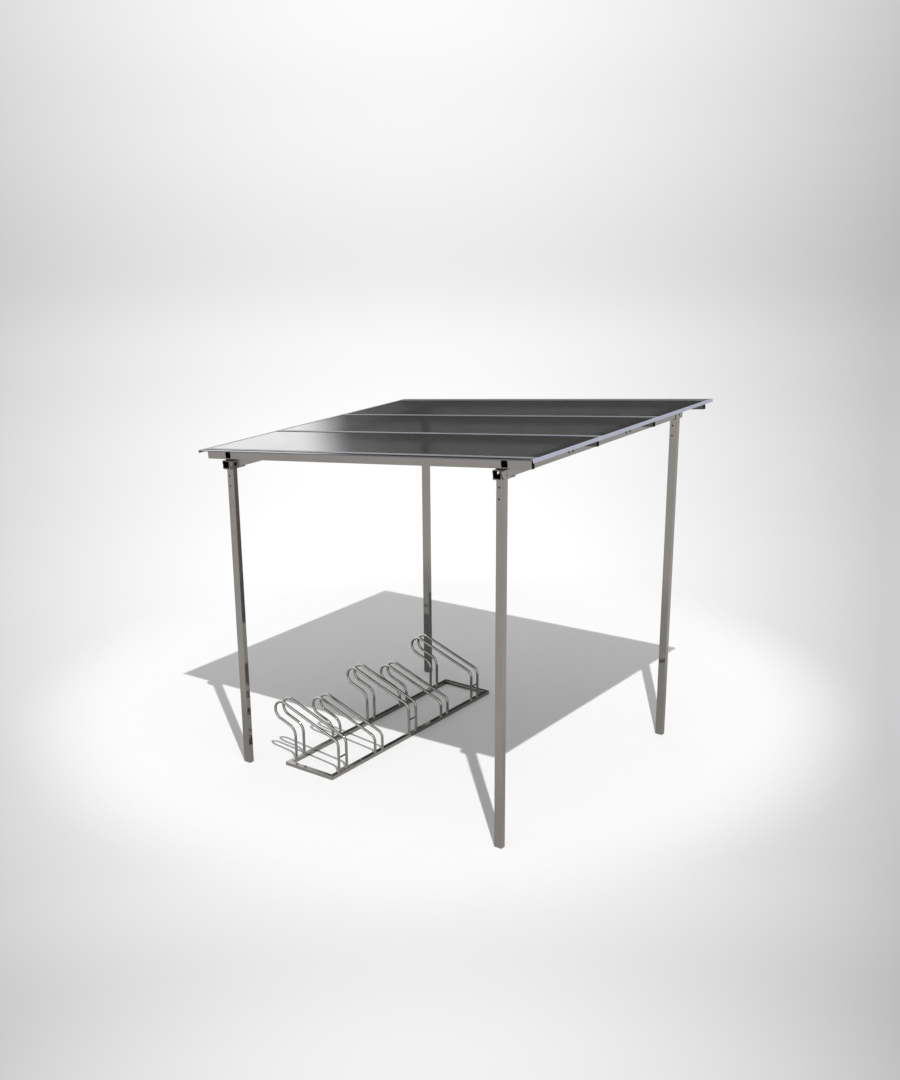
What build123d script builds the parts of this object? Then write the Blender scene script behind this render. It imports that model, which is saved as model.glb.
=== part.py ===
"""Open bicycle shelter with a smoked mono-pitch roof and a five-place high-low rack.

Frame: millimetres, +Z up, origin on the ground under the middle of the four posts.
+X runs along the open entrance side, +Y from the entrance (front) to the rear.
Every piece is written to parts/<node>.step in this one frame.
"""

import os
from math import cos, radians, sin, tan

from build123d import *

os.makedirs("parts", exist_ok=True)

# ---- driving dimensions -------------------------------------------------------------
POST_SPAN_X = 1962.0  # post centre to post centre along the entrance
POST_SPAN_Y = 2000.0  # post centre to post centre, front to rear
POST_X, POST_Y, POST_WALL = 36.0, 52.0, 3.0
EDGE_ROUND = 0.7  # outer edge radius of a rectangular tube, as a share of its wall
FOOT_T = 5.0  # plate closing the foot of a post
FRONT_POST_H = 2198.0  # ground to the top of a front post
PITCH = 6.25  # roof fall towards the rear, degrees

BEAM_D, BEAM_H, BEAM_WALL = 52.0, 48.0, 3.0
BEAM_OVERHANG = 50.0  # beam end past the centre of the end post

SEAT_T = 5.0  # saddle seat between post top and beam
CHEEK_T = 4.0  # saddle cheek on each side of the beam
CHEEK_IN = 44.0  # cheek length from the post centre into the bay; outwards it ends with the beam
CHEEK_RISE = 46.0  # cheek height above the seat
SADDLE_WING = 86.0  # seat length from the post centre into the bay
CORNER_R = 49.0  # lower outer corner of a cheek
SLOT_W, SLOT_H = 9.0, 28.0  # on the outer side of a saddle and its beam
ACCESS_D = 22.0  # round access hole opposite the slot, on the bay side

RAFTER_W, RAFTER_H, RAFTER_WALL = 26.0, 51.0, 3.0
RAFTER_COUNT = 4
RAFTER_OVERHANG = 190.0  # in plan, past each row of posts, before the shift
RAFTER_SHIFT = 10.0  # rafters set towards the entrance
SHIM_MIN = 2.0  # thinnest edge of the wedge under a rafter
SHIM_W = 44.0
WINDOW_V, WINDOW_W, WINDOW_R = 42.0, 40.0, 6.0
WINDOW_SILL = 5.0  # lower edge of a fitting window above the rafter underside
WINDOW_SHIFT = {"front": 28.0, "rear": 8.0}  # window centre from the beam centre, outwards

PANEL_T = 6.0
PANEL_JOINT = 6.0  # gap between neighbouring panels, under the cover strip
SIDE_OVERHANG = 53.0  # roof edge past the centre of the outer posts
ROOF_OVERHANG = 229.0  # in plan, past each row of posts
STRIP_W, STRIP_T, STRIP_CHAMFER = 36.0, 2.5, 1.2
TRIM_T, TRIM_FLANGE, TRIM_FACE = 2.0, 10.0, 19.0

BOLT_D, BOLT_CLEAR = 8.0, 1.0
BOLT_REACH = 10.0  # bolt end below the top wall of the beam
HEAD_D, HEAD_H, HEAD_ROUND = 15.0, 5.0, 2.0
POST_HOLE_D = 11.0
POST_HOLE_DROP = (46.0, 111.0)  # below the post top
POST_HOLE_SHIFT = 6.0  # hole line from the post centre, towards the rear
PAIR_SPACING = 44.0  # fixing pair on the beam face

RACK_PLACES = 5
RACK_PITCH = 368.0
RACK_SHIFT = -21.0  # middle place from the middle of the rack frame
RACK_LENGTH = 1768.0
RACK_FRONT_Y = 364.0  # front face of the front rail
RACK_DEPTH = 398.0
RAIL_W, RAIL_H, RAIL_WALL = 30.0, 25.0, 2.0
TUBE_D, TUBE_WALL = 18.0, 2.0
WHEEL_GAUGE = 77.0  # centre to centre of the two loops of a place
LOOP_TILT = 19.5  # slope of the wheel guides, degrees
NOSE_R = 62.0
NOSE_Y, NOSE_Z = 475.0, 333.0  # nose centre from the front leg, and above ground
LOW_DROP = 98.0  # low places below high places
FRONT_BEND_R, REAR_BEND_R = 50.0, 75.0
CROSS_D, CROSS_Z = 12.0, 122.0

# ---- derived levels -----------------------------------------------------------------
HALF_X, HALF_Y = POST_SPAN_X / 2, POST_SPAN_Y / 2
FALL = tan(radians(PITCH))
FRONT_BEAM_Z = FRONT_POST_H + SEAT_T
SHIM_MID = SHIM_MIN + BEAM_D / 2 * FALL  # wedge height at the beam centre
RAFTER_Z0 = FRONT_BEAM_Z + BEAM_H + SHIM_MID - HALF_Y * FALL  # rafter underside at Y = 0
REAR_BEAM_Z = RAFTER_Z0 - HALF_Y * FALL - SHIM_MID - BEAM_H
REAR_POST_H = REAR_BEAM_Z - SEAT_T
BEAM_HALF = HALF_X + BEAM_OVERHANG
RAFTER_PITCH = POST_SPAN_X / (RAFTER_COUNT - 1)
STRIP_XS = [-HALF_X + i * RAFTER_PITCH for i in range(RAFTER_COUNT)]
OUTER_X = HALF_X + (POST_X - RAFTER_W) / 2  # outer rafters flush with the posts' outer faces
RAFTER_XS = [-OUTER_X] + STRIP_XS[1:-1] + [OUTER_X]
ROOF_HALF_X = HALF_X + SIDE_OVERHANG
ROOF_HALF_V = (HALF_Y + ROOF_OVERHANG) / cos(radians(PITCH))
ROOF_V0 = -(RAFTER_H + PANEL_T) * FALL  # keeps the top of the roof centred in plan

ROWS = {"front": (-1, FRONT_BEAM_Z, FRONT_POST_H), "rear": (1, REAR_BEAM_Z, REAR_POST_H)}
SIDES = {"left": -1, "right": 1}


def save(name, *solids):
    """Write one node, made of one or more separate solids."""
    shape = solids[0] if len(solids) == 1 else Compound(children=list(solids))
    export_step(shape, f"parts/{name}.step")


def block(x0, x1, y0, y1, z0, z1):
    """Axis-aligned box between six planes."""
    centre = ((x0 + x1) / 2, (y0 + y1) / 2, (z0 + z1) / 2)
    return Pos(*centre) * Box(x1 - x0, y1 - y0, z1 - z0)


def tube(width, height, wall, length):
    """Rectangular tube along +Z, standing on the XY plane, with softened outer edges."""
    outer = extrude(RectangleRounded(width, height, wall * EDGE_ROUND), amount=length)
    inner = extrude(Rectangle(width - 2 * wall, height - 2 * wall), amount=length)
    return outer - inner


def on_roof(shape):
    """Place a shape drawn with Y down the slope and Z square to it onto the roof."""
    return Pos(0, 0, RAFTER_Z0) * Rot(X=-PITCH) * shape


def slope_v(y, w=0.0):
    """Distance down the slope at which a point w above the rafter underside has plan Y."""
    return y / cos(radians(PITCH)) - w * FALL


def rod(diameter, x, y, z0, z1):
    """Upright cylinder between two levels."""
    return Pos(x, y, (z0 + z1) / 2) * Cylinder(diameter / 2, z1 - z0)


def side_cut(sy, x, y, z):
    """Cutter along Y through a beam and its cheeks: a slot outwards, a round hole inwards."""
    slot = extrude(SlotOverall(SLOT_H, SLOT_W, rotation=90), amount=BEAM_D)
    access = extrude(Circle(ACCESS_D / 2), amount=-BEAM_D)
    return Pos(x, y, z) * Rot(X=-90 * sy) * (slot + access)


# ---- posts --------------------------------------------------------------------------
for row, (sy, _, height) in ROWS.items():
    for side, sx in SIDES.items():
        post = Pos(sx * HALF_X, sy * HALF_Y, 0) * tube(POST_X, POST_Y, POST_WALL, height)
        post += Pos(sx * HALF_X, sy * HALF_Y, FOOT_T / 2) * Box(
            POST_X - POST_WALL, POST_Y - POST_WALL, FOOT_T)
        for drop in POST_HOLE_DROP:
            hole = Rot(Y=90) * Cylinder(POST_HOLE_D / 2, POST_X * 2)
            post -= Pos(sx * HALF_X, sy * HALF_Y + POST_HOLE_SHIFT, height - drop) * hole
        save(f"post_{row}_{side}", post)

# ---- saddle bolts: one through each rafter into the beam ----------------------------
BOLT_V = {row: slope_v(sy * HALF_Y) for row, (sy, _, _) in ROWS.items()}
SHANK = RAFTER_WALL + SHIM_MID + BEAM_WALL + BOLT_REACH


def bolt_bore(x, row, diameter):
    """Cylinder on the axis of a rafter bolt, from inside the beam to inside the rafter."""
    top = RAFTER_WALL
    return on_roof(rod(diameter, x, BOLT_V[row], top - SHANK, top))


# ---- beams --------------------------------------------------------------------------
for row, (sy, z0, _) in ROWS.items():
    lying = Rot(Y=90) * tube(BEAM_H, BEAM_D, BEAM_WALL, 2 * BEAM_HALF)
    beam = Pos(-BEAM_HALF, sy * HALF_Y, z0 + BEAM_H / 2) * lying
    for sx in SIDES.values():
        beam -= side_cut(sy, sx * HALF_X, sy * HALF_Y, z0 + BEAM_H / 2)
    for x in RAFTER_XS:
        beam -= bolt_bore(x, row, BOLT_D + BOLT_CLEAR)
    save(f"beam_{row}", beam)

# ---- saddles between post and beam --------------------------------------------------
for row, (sy, z0, post_h) in ROWS.items():
    for side, sx in SIDES.items():
        outer_y = BEAM_D / 2 + CHEEK_T
        cup_xs = sorted((sx * BEAM_OVERHANG, -sx * CHEEK_IN))
        cup = block(*cup_xs, -outer_y, outer_y, post_h, z0 + CHEEK_RISE)
        low_edges = cup.edges().filter_by(Axis.Y).group_by(Axis.Z)[0]
        cup = fillet(low_edges.sort_by(Axis.X)[0 if sx < 0 else -1], CORNER_R)
        tail_xs = sorted((0, sx * BEAM_OVERHANG))
        tail = block(*tail_xs, -BEAM_D / 2, BEAM_D / 2, post_h, z0)
        wing_xs = sorted((0, -sx * SADDLE_WING))
        wing = block(*wing_xs, -outer_y, outer_y, post_h, z0)
        channel = block(-2 * BEAM_OVERHANG, 2 * BEAM_OVERHANG, -BEAM_D / 2, BEAM_D / 2, z0,
                        z0 + 2 * CHEEK_RISE)
        saddle = cup + wing + tail - channel
        saddle -= side_cut(sy, 0, 0, z0 + BEAM_H / 2)
        save(f"saddle_{row}_{side}", Pos(sx * HALF_X, sy * HALF_Y, 0) * saddle)

# ---- rafters ------------------------------------------------------------------------
rafter_half = (HALF_Y + RAFTER_OVERHANG) / cos(radians(PITCH))
for i, x in enumerate(RAFTER_XS):
    body = Rot(X=-90) * tube(RAFTER_W, RAFTER_H, RAFTER_WALL, 2 * rafter_half)
    rafter = Pos(x, -rafter_half - RAFTER_SHIFT, RAFTER_H / 2) * body
    for row, (sy, _, _) in ROWS.items():
        rafter -= rod(BOLT_D + BOLT_CLEAR, x, BOLT_V[row], -1, RAFTER_WALL + 1)
        if i in (0, RAFTER_COUNT - 1):  # fitting window in the outer web
            side = -1 if i == 0 else 1
            flat = RectangleRounded(WINDOW_V, WINDOW_W, WINDOW_R)
            cut = Rot(Z=90) * Rot(X=90) * extrude(flat, amount=RAFTER_WALL * 2, both=True)
            v = BOLT_V[row] + sy * WINDOW_SHIFT[row]
            rafter -= Pos(x + side * (RAFTER_W / 2), v, WINDOW_SILL + WINDOW_W / 2) * cut
    save(f"rafter_{i + 1}", on_roof(rafter))

# ---- wedges under the rafters, bolts through them -----------------------------------
for row, (sy, z0, _) in ROWS.items():
    shims, bolts = [], []
    for x in RAFTER_XS:
        y0, y1 = sy * HALF_Y - BEAM_D / 2, sy * HALF_Y + BEAM_D / 2
        z_top = z0 + BEAM_H
        stock = block(x - SHIM_W / 2, x + SHIM_W / 2, y0, y1, z_top, z_top + 3 * SHIM_MID)
        above = on_roof(block(x - SHIM_W, x + SHIM_W, -2 * HALF_Y, 2 * HALF_Y, 0, RAFTER_H))
        shims.append(stock - above - bolt_bore(x, row, BOLT_D + BOLT_CLEAR))
        top = RAFTER_WALL
        head = Pos(x, BOLT_V[row], top + HEAD_H / 2) * extrude(
            RegularPolygon(HEAD_D / 2, 6), amount=HEAD_H / 2, both=True)
        bolts.append(on_roof(head + rod(BOLT_D, x, BOLT_V[row], top - SHANK, top)))
    save(f"rafter_wedges_{row}", *shims)
    save(f"rafter_bolts_{row}", *bolts)

# ---- fixing pairs on the outer beam faces at the inner rafters ----------------------
for row, (sy, z0, _) in ROWS.items():
    studs = []
    for x in RAFTER_XS[1:-1]:
        for offset in (-PAIR_SPACING / 2, PAIR_SPACING / 2):
            stud = Rot(X=-90 * sy) * extrude(Circle(HEAD_D / 2), amount=HEAD_H)
            stud = fillet(stud.faces().sort_by(Axis.Y)[-1 if sy > 0 else 0].edges(), HEAD_ROUND)
            face_y = sy * (HALF_Y + BEAM_D / 2)
            studs.append(Pos(x + offset, face_y, z0 + BEAM_H / 2) * stud)
    save(f"beam_fixings_{row}", *studs)

# ---- roof ---------------------------------------------------------------------------
v_min, v_max = ROOF_V0 - ROOF_HALF_V, ROOF_V0 + ROOF_HALF_V
panel_edges = [-ROOF_HALF_X] + STRIP_XS[1:-1] + [ROOF_HALF_X]
for i in range(RAFTER_COUNT - 1):
    x0 = panel_edges[i] + (PANEL_JOINT / 2 if i else 0)
    x1 = panel_edges[i + 1] - (PANEL_JOINT / 2 if i < RAFTER_COUNT - 2 else 0)
    panel = block(x0, x1, v_min + TRIM_T, v_max - TRIM_T, RAFTER_H, RAFTER_H + PANEL_T)
    save(f"roof_panel_{i + 1}", on_roof(panel))

strip_w0 = RAFTER_H + PANEL_T
for i, x in enumerate(STRIP_XS):
    strip = block(x - STRIP_W / 2, x + STRIP_W / 2, v_min + TRIM_FLANGE, v_max - TRIM_FLANGE,
                  strip_w0, strip_w0 + STRIP_T)
    strip = chamfer(strip.faces().sort_by(Axis.Z)[-1].edges().filter_by(Axis.Y), STRIP_CHAMFER)
    save(f"cover_strip_{i + 1}", on_roof(strip))

for row, (sy, _, _) in ROWS.items():
    v_out = v_max if sy > 0 else v_min
    flange = sorted((v_out, v_out - sy * TRIM_FLANGE))
    face = sorted((v_out, v_out - sy * TRIM_T))
    top = strip_w0 + TRIM_T
    trim = block(-ROOF_HALF_X, ROOF_HALF_X, flange[0], flange[1], strip_w0, top)
    trim += block(-ROOF_HALF_X, ROOF_HALF_X, face[0], face[1], top - TRIM_FACE, top)
    save(f"trim_{row}", on_roof(trim))

# ---- rack frame ---------------------------------------------------------------------
rail_ys = (RACK_FRONT_Y + RAIL_W / 2, RACK_FRONT_Y + RACK_DEPTH - RAIL_W / 2)
RACK_BACK_Y = RACK_FRONT_Y + RACK_DEPTH


def mitred(lying, *corners):
    """Keep the part of a lying tube inside a plan outline, which cuts its ends to a mitre."""
    return lying & extrude(Polygon(*corners, align=None), amount=2 * RAIL_H, both=True)


for row, y, y_out, y_in in (
        ("front", rail_ys[0], RACK_FRONT_Y, RACK_FRONT_Y + RAIL_W),
        ("rear", rail_ys[1], RACK_BACK_Y, RACK_BACK_Y - RAIL_W)):
    lying = Rot(Y=90) * tube(RAIL_H, RAIL_W, RAIL_WALL, RACK_LENGTH)
    rail = Pos(-RACK_LENGTH / 2, y, RAIL_H / 2) * lying
    long_x, short_x = RACK_LENGTH / 2, RACK_LENGTH / 2 - RAIL_W
    save(f"rack_rail_{row}", mitred(
        rail, (-long_x, y_out), (long_x, y_out), (short_x, y_in), (-short_x, y_in)))
for side, sx in SIDES.items():
    lying = Rot(X=-90) * tube(RAIL_W, RAIL_H, RAIL_WALL, RACK_DEPTH)
    bar = Pos(sx * (RACK_LENGTH - RAIL_W) / 2, RACK_FRONT_Y, RAIL_H / 2) * lying
    x_out, x_in = sx * RACK_LENGTH / 2, sx * (RACK_LENGTH / 2 - RAIL_W)
    save(f"rack_end_{side}", mitred(
        bar, (x_out, RACK_FRONT_Y), (x_out, RACK_BACK_Y),
        (x_in, RACK_BACK_Y - RAIL_W), (x_in, RACK_FRONT_Y + RAIL_W)))


# ---- rack loops ---------------------------------------------------------------------
def loop_path(drop):
    """Centre line of a wheel guide in the YZ plane: front leg, slope, nose, rear leg."""
    a = radians(LOOP_TILT)
    front_y, rear_y = rail_ys
    cy, cz = front_y + NOSE_Y, NOSE_Z - drop
    along = Vector(0, cos(a), sin(a))
    square = Vector(0, -sin(a), cos(a))
    centre = Vector(0, cy, cz)
    upper, lower = centre + square * NOSE_R, centre - square * NOSE_R
    nose = centre + along * NOSE_R
    front_corner = upper - along * ((upper.Y - front_y) / along.Y)
    rear_corner = lower - along * ((lower.Y - rear_y) / along.Y)
    reach = tan(radians(90 - LOOP_TILT) / 2)
    up = Vector(0, 0, 1)
    front_a = front_corner - up * (FRONT_BEND_R * reach)
    front_b = front_corner + along * (FRONT_BEND_R * reach)
    rear_b = rear_corner - up * (REAR_BEND_R * reach)
    rear_a = rear_corner + along * (REAR_BEND_R * reach)
    path = [Line(Vector(0, front_y, RAIL_H), front_a),
            TangentArc(front_a, front_b, tangent=up),
            Line(front_b, upper),
            ThreePointArc(upper, nose, lower),
            Line(lower, rear_a),
            TangentArc(rear_a, rear_b, tangent=along * -1),
            Line(rear_b, Vector(0, rear_y, RAIL_H))]
    return Wire(path)


def loop_solid(drop):
    """One bent tube standing on both rails."""
    path = loop_path(drop)
    start = Plane(origin=(0, rail_ys[0], RAIL_H), z_dir=(0, 0, 1))
    outer = sweep(start * Circle(TUBE_D / 2), path=path)
    inner = sweep(start * Circle(TUBE_D / 2 - TUBE_WALL), path=path)
    return outer - inner


LOOPS = {"high": loop_solid(0.0), "low": loop_solid(LOW_DROP)}
cross_bars = []
for i in range(RACK_PLACES):
    kind = "low" if i % 2 else "high"
    x = RACK_SHIFT + (i - (RACK_PLACES - 1) / 2) * RACK_PITCH
    pair = [Pos(x + s * WHEEL_GAUGE / 2, 0, 0) * LOOPS[kind] for s in (-1, 1)]
    save(f"rack_place_{i + 1}", *pair)
    if kind == "high":
        bar = Pos(x, rail_ys[0], CROSS_Z) * Rot(Y=90) * Cylinder(CROSS_D / 2, WHEEL_GAUGE)
        for s in (-1, 1):
            leg = rod(TUBE_D, x + s * WHEEL_GAUGE / 2, rail_ys[0], 0, 2 * CROSS_Z)
            bar -= leg
        cross_bars.append(bar)
save("rack_cross_bars", *cross_bars)
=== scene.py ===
"""Finishes, small fittings and studio for the open bicycle shelter.

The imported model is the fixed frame: metres, +Z up, +X along the entrance, +Y to the rear.
"""

import logging
import math
from dataclasses import dataclass, field
from enum import Enum
from typing import Callable, Sequence

import bmesh
import bpy
from mathutils import Matrix, Vector


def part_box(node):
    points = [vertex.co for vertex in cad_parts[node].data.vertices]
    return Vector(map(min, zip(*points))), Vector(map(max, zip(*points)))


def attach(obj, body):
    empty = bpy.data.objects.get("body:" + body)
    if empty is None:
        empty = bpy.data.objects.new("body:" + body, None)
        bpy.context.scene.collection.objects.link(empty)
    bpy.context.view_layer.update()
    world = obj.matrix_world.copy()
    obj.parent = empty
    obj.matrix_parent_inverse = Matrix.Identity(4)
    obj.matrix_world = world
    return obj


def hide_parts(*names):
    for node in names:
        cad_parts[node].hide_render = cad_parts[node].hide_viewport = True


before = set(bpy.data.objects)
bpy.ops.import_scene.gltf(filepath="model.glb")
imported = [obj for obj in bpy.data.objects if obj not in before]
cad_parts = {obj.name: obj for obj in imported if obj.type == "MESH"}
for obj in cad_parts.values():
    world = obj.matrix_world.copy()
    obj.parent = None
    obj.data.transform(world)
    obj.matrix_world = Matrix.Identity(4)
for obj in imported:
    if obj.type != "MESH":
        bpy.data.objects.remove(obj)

LOG = logging.getLogger("bicycle_shelter")
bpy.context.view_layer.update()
MM = 0.001
ROOF_PITCH = math.radians(6.25)
SHEET_T = 6 * MM
ALONG = 0.9  # cosine beyond which two directions count as the same
SMOOTH_BELOW = math.radians(35)  # edges flatter than this are shaded smooth
COLOUR_A, COLOUR_B, COLOUR_OUT = 6, 7, 2  # sockets of the Mix node when it mixes colours


class Slot(str, Enum):
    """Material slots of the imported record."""

    FASTENER = "fastener"
    RACK = "rack_steel"


class Lying(Enum):
    """How a hollow section lies: the two axes across it and its turn about X."""

    UPRIGHT = ("X", "Y", 0.0)
    ALONG_X = ("Y", "Z", 0.0)
    DOWN_ROOF = ("X", "Z", ROOF_PITCH)


class Part(Enum):
    """What an edit-mode pick selects."""

    POINTS = 0
    EDGES = 1
    FACES = 2


def linear(colour: str) -> tuple[float, float, float, float]:
    """Turn an sRGB hex colour into the linear values that shaders take.

    Args:
        colour: Six hex digits with a leading hash.

    Returns:
        Red, green, blue and an alpha of 1.
    """
    channels = [int(colour[i:i + 2], 16) / 255 for i in (1, 3, 5)]
    return (*(c / 12.92 if c <= 0.04045 else ((c + 0.055) / 1.055) ** 2.4 for c in channels), 1.0)


def add_node(tree: bpy.types.NodeTree, kind: str, inputs: dict[str | int, object] | None = None,
             links: dict[str | int, bpy.types.NodeSocket] | None = None,
             **settings: object) -> bpy.types.Node:
    """Add one node with its settings, its own values and what feeds it.

    Args:
        tree: The tree that gets the node.
        kind: Blender's name for the node type, without the ShaderNode prefix.
        inputs: Values for its input sockets.
        links: Sockets of other nodes that feed its inputs.
        **settings: Attributes of the node itself.

    Returns:
        The new node.
    """
    made = tree.nodes.new("ShaderNode" + kind)
    for key, value in settings.items():
        setattr(made, key, value)
    for key, value in (inputs or {}).items():
        made.inputs[key].default_value = value
    for key, socket in (links or {}).items():
        tree.links.new(socket, made.inputs[key])
    return made


def blank_material(name: str) -> tuple[bpy.types.Material, bpy.types.NodeTree,
                                       bpy.types.NodeSocket]:
    """Make a node material that holds only its coordinates.

    Args:
        name: Its name in the file.

    Returns:
        The material, its node tree and the object coordinates in metres.
    """
    material = bpy.data.materials.new(name)
    material.use_nodes = True
    tree = material.node_tree
    tree.nodes.clear()
    return material, tree, add_node(tree, "TexCoord").outputs["Object"]


def close_material(tree: bpy.types.NodeTree, shader: bpy.types.NodeSocket) -> None:
    """Feed a shader into the material's output.

    Args:
        tree: The material's tree.
        shader: What the surface shows.
    """
    add_node(tree, "OutputMaterial", links={"Surface": shader})


def pattern(tree: bpy.types.NodeTree, place: bpy.types.NodeSocket, size_mm: float,
            detail: float = 2.0,
            stretch: Sequence[float] = (1.0, 1.0, 1.0)) -> bpy.types.NodeSocket:
    """Noise whose cells have a real size.

    Args:
        tree: The material's tree.
        place: Coordinates that the noise reads, in metres.
        size_mm: Size of one cell.
        detail: Octaves of finer noise.
        stretch: Factor per axis; below 1 draws the cells out along it.

    Returns:
        The noise value, about 0 to 1.
    """
    scaled = add_node(tree, "Mapping", {"Scale": [s / (size_mm * MM) for s in stretch]},
                      {"Vector": place})
    noise = add_node(tree, "TexNoise", {"Scale": 1.0, "Detail": detail},
                     {"Vector": scaled.outputs["Vector"]})
    return noise.outputs["Fac"]


def between(tree: bpy.types.NodeTree, value: bpy.types.NodeSocket, low: float, high: float,
            source: tuple[float, float] = (0.3, 0.7)) -> bpy.types.NodeSocket:
    """Spread a pattern between two values.

    Args:
        tree: The material's tree.
        value: The pattern.
        low: Result at the low end.
        high: Result at the high end.
        source: The pattern's values at those ends.

    Returns:
        The spread value.
    """
    ranged = add_node(tree, "MapRange", {"From Min": source[0], "From Max": source[1],
                                         "To Min": low, "To Max": high}, {"Value": value})
    return ranged.outputs["Result"]


def tinted(tree: bpy.types.NodeTree, factor: bpy.types.NodeSocket, first: str,
           second: str) -> bpy.types.NodeSocket:
    """Mix two hex colours by a factor socket.

    Args:
        tree: The material's tree.
        factor: 0 for the first colour, 1 for the second.
        first: One hex colour.
        second: The other.

    Returns:
        The mixed colour.
    """
    mix = add_node(tree, "Mix", links={"Factor": factor}, data_type="RGBA")
    mix.inputs[COLOUR_A].default_value = linear(first)
    mix.inputs[COLOUR_B].default_value = linear(second)
    return mix.outputs[COLOUR_OUT]


def raised(tree: bpy.types.NodeTree, height: bpy.types.NodeSocket,
           relief: tuple[float, float]) -> bpy.types.NodeSocket:
    """Turn a pattern into relief.

    Args:
        tree: The material's tree.
        height: The pattern.
        relief: Strength of the bump and its height in metres.

    Returns:
        The bumped normal.
    """
    strength, distance = relief
    bump = add_node(tree, "Bump", {"Strength": strength, "Distance": distance}, {"Height": height})
    return bump.outputs["Normal"]


@dataclass(frozen=True)
class Hollow:
    """The inside of a rectangular tube, painted black as shade: painted shade where light does not reach into
    it.
    """

    centre: Vector
    half_across: float
    half_up: float
    lying: Lying

    def mask(self, tree: bpy.types.NodeTree, place: bpy.types.NodeSocket) -> bpy.types.NodeSocket:
        """Give 1 inside the tube and 0 on its outer skin.

        Args:
            tree: The material's tree.
            place: Object coordinates in metres.

        Returns:
            The mask as a socket.
        """
        first, second, turn = self.lying.value
        moved = add_node(tree, "VectorMath", {1: self.centre}, {0: place}, operation="SUBTRACT")
        turned = add_node(tree, "VectorRotate", {"Angle": turn}, {"Vector": moved.outputs[0]},
                          rotation_type="X_AXIS")
        axes = add_node(tree, "SeparateXYZ", links={"Vector": turned.outputs["Vector"]})
        inside = []
        for axis, half in ((first, self.half_across), (second, self.half_up)):
            size = add_node(tree, "Math", links={0: axes.outputs[axis]}, operation="ABSOLUTE")
            near = add_node(tree, "Math", {1: half}, {0: size.outputs[0]}, operation="LESS_THAN")
            inside.append(near.outputs[0])
        both = add_node(tree, "Math", links={0: inside[0], 1: inside[1]}, operation="MULTIPLY")
        return both.outputs[0]


@dataclass(frozen=True)
class PolishedSteelTube:
    """Stainless steel tube, ground and polished: warm grey, mirror-like, with faint long marks."""

    name: str = "polished_steel_tube"
    clean: str = "#94918E"
    dull: str = "#8B8783"
    bore_shade: str = "#040404"
    roughness: tuple[float, float] = (0.03, 0.06)
    cloud_mm: float = 140.0
    mark_mm: float = 2.5  # the real marks are far finer; drawn this coarse so that they show
    relief: tuple[float, float] = (0.02, 0.0002)  # bump strength and height

    def build(self, lying: Lying, hollow: Hollow | None = None) -> bpy.types.Material:
        """Build the material for one section.

        Args:
            lying: Which way the section runs, which the grinding marks follow.
            hollow: Its inside, if it has one.

        Returns:
            The material.
        """
        material, tree, place = blank_material(self.name)
        stretch = {Lying.UPRIGHT: (1, 1, 0.01), Lying.ALONG_X: (0.01, 1, 1),
                   Lying.DOWN_ROOF: (1, 0.01, 1)}[lying]
        clouds = pattern(tree, place, self.cloud_mm, 3.0)
        marks = pattern(tree, place, self.mark_mm, 2.0, stretch)
        colour = tinted(tree, clouds, self.clean, self.dull)
        rough = between(tree, marks, *self.roughness)
        bump = raised(tree, marks, self.relief)
        metal = add_node(tree, "BsdfPrincipled", {"Metallic": 1.0},
                         {"Base Color": colour, "Roughness": rough, "Normal": bump})
        if hollow is None:
            close_material(tree, metal.outputs["BSDF"])
            return material
        # painted shade: the tube's inside is drawn near black, as the shade that fills it
        dark = add_node(tree, "BsdfPrincipled", {"Base Color": linear(self.bore_shade), "Roughness": 0.9,
                                                 "Specular IOR Level": 0.1})
        mixed = add_node(tree, "MixShader", links={
            0: hollow.mask(tree, place), 1: metal.outputs["BSDF"], 2: dark.outputs["BSDF"]})
        close_material(tree, mixed.outputs[0])
        return material


@dataclass(frozen=True)
class PlatedRackSteel:
    """Bright galvanised steel tube, drawn and plated: light silver with a soft mottled skin."""

    name: str = "bright_plated_rack_steel"
    light: str = "#A3A19D"
    shade: str = "#95938F"
    roughness: tuple[float, float] = (0.04, 0.09)
    spangle_mm: float = 14.0
    spangle_span: tuple[float, float] = (0.0, 0.8)
    cloud_mm: float = 60.0

    def build(self) -> bpy.types.Material:
        """Build the material and return it."""
        material, tree, place = blank_material(self.name)
        scaled = add_node(tree, "Mapping", {"Scale": [1 / (self.spangle_mm * MM)] * 3},
                          {"Vector": place})
        spangle = add_node(tree, "TexVoronoi", {"Scale": 1.0}, {"Vector": scaled.outputs["Vector"]})
        clouds = pattern(tree, place, self.cloud_mm, 3.0)
        colour = tinted(tree, clouds, self.light, self.shade)
        rough = between(tree, spangle.outputs["Distance"], *self.roughness, self.spangle_span)
        metal = add_node(tree, "BsdfPrincipled", {"Metallic": 1.0},
                         {"Base Color": colour, "Roughness": rough})
        close_material(tree, metal.outputs["BSDF"])
        return material


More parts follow.
